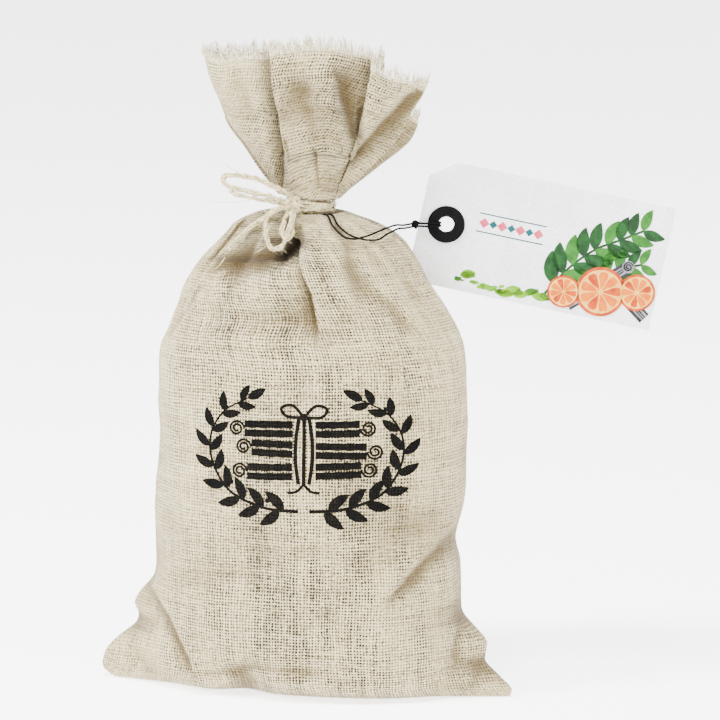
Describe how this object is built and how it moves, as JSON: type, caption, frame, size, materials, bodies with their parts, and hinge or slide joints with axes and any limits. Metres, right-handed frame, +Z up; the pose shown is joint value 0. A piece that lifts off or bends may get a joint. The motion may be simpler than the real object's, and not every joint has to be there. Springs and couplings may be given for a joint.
{
  "type": "tied linen pouch of cinnamon sticks",
  "caption": "Shut linen pouch standing on its base: rounded body with sewn bottom corners, neck tied with jute twine under a pleated ruffle, paper tag on a black cord.",
  "frame": {"origin": "On the floor, under the middle of the pouch's base, straight below its tied neck", "axes": "+Z up, along the pouch's height, its longest side; X along its width, with the tag on the +X side; the printed front faces -Y"},
  "size_m": [0.2105, 0.0766, 0.2393],
  "materials": {
    "linen": "open weave, matt",
    "jute": "twisted, hairy, matt",
    "paper": "fine-grained card, matt",
    "black": "satin"
  },
  "bodies": {
    "root": {"pouch": "linen", "twine_tie": "jute", "tag_card": "paper", "tag_ring": "black", "cord_strand_left": "black", "cord_strand_right": "black", "cord_hitch_upper": "black", "cord_hitch_lower": "black", "cord_knot": "black"}
  },
  "joints": []
}
